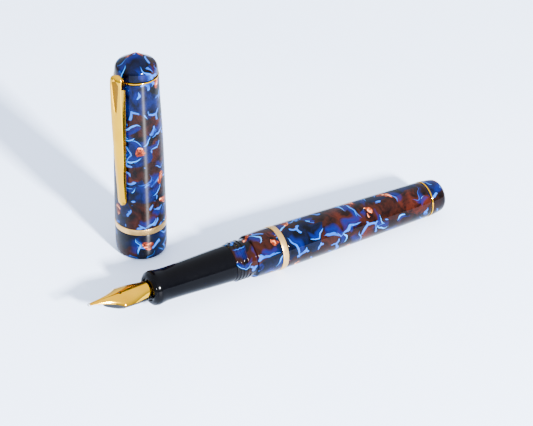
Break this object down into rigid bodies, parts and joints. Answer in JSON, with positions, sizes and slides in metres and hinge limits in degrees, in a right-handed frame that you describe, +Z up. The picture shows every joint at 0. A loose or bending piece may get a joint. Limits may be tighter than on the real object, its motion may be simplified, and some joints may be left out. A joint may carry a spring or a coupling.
{
  "type": "fountain pen",
  "caption": "Fountain pen, uncapped and lying down, with its clip cap standing beside it; grip, nib and feed, and piston converter all come apart.",
  "frame": {"origin": "on the surface that the pen lies on, under the middle of the whole object's box", "axes": "+X along the pen towards its tail, +Y across towards the standing cap, +Z up"},
  "size_m": [0.1258, 0.0458, 0.068],
  "materials": {
    "marbled_resin": "polished marbled acrylic resin, near-black with blue ribbons and brown patches",
    "satin_gold": "gold-plated brass, fine turned satin",
    "polished_gold": "gold-plated, mirror polished",
    "black_resin": "polished black resin",
    "black_plastic": "moulded ABS, satin",
    "brass": "turned brass",
    "steel": "turned stainless steel",
    "rubber": "moulded black rubber",
    "clear_plastic": "clear moulded acrylic"
  },
  "bodies": {
    "barrel": {"barrel_collar": "marbled_resin", "barrel_band": "satin_gold", "barrel_tube": "marbled_resin", "barrel_liner": "brass", "tail_ring": "polished_gold", "tail_finial": "marbled_resin"},
    "seal": {"seal_ring": "rubber"},
    "grip": {"section": "black_resin", "section_thread": "brass", "nib_housing": "black_plastic"},
    "nib_unit": {"nib": "polished_gold", "feed": "black_plastic"},
    "converter": {"converter_tube": "clear_plastic", "converter_sleeve": "steel", "converter_guide": "black_plastic"},
    "knob": {"converter_knob": "black_plastic", "lead_screw": "steel"},
    "piston": {"piston_rod": "black_plastic", "piston_seal": "rubber"},
    "cap": {"cap_tube": "marbled_resin", "cap_band": "satin_gold", "clip_ring": "polished_gold", "cap_finial": "marbled_resin", "inner_cap": "black_plastic", "finial_screw": "steel"},
    "clip": {"clip": "polished_gold"}
  },
  "joints": [
    {"name": "cap_lift", "type": "slide", "parent": "barrel", "child": "cap", "axis": [0, 0, 1], "range_m": [0, 0.09]},
    {"name": "clip_flex", "type": "hinge", "parent": "cap", "child": "clip", "pos_m": [-0.03413, 0.01232, 0.06088], "axis": [-0.3811, 0.9245, 0], "range_deg": [0, 4], "stiffness_Nm_per_rad": 2},
    {"name": "section_unscrew", "type": "hinge", "parent": "barrel", "child": "seal", "pos_m": [0.00091, -0.01597, 0.00696], "axis": [0.9998, 0, -0.0211], "range_deg": [0, 1800]},
    {"name": "section_pull", "type": "slide", "parent": "seal", "child": "grip", "axis": [-0.9998, 0, 0.0211], "range_m": [0, 0.075]},
    {"name": "nib_pull", "type": "slide", "parent": "grip", "child": "nib_unit", "axis": [-0.9998, 0, 0.0211], "range_m": [0, 0.02]},
    {"name": "converter_pull", "type": "slide", "parent": "grip", "child": "converter", "axis": [0.9998, 0, -0.0211], "range_m": [0, 0.008]},
    {"name": "knob_turn", "type": "hinge", "parent": "converter", "child": "knob", "pos_m": [0.00091, -0.01597, 0.00696], "axis": [-0.9998, 0, 0.0211], "range_deg": [0, 2160]},
    {"name": "piston_travel", "type": "slide", "parent": "converter", "child": "piston", "axis": [0.9998, 0, -0.0211], "range_m": [0, 0.02]}
  ],
  "couplings": [
    {"joint": "knob_turn", "follows": "piston_travel", "rad_per_m": 1885}
  ]
}
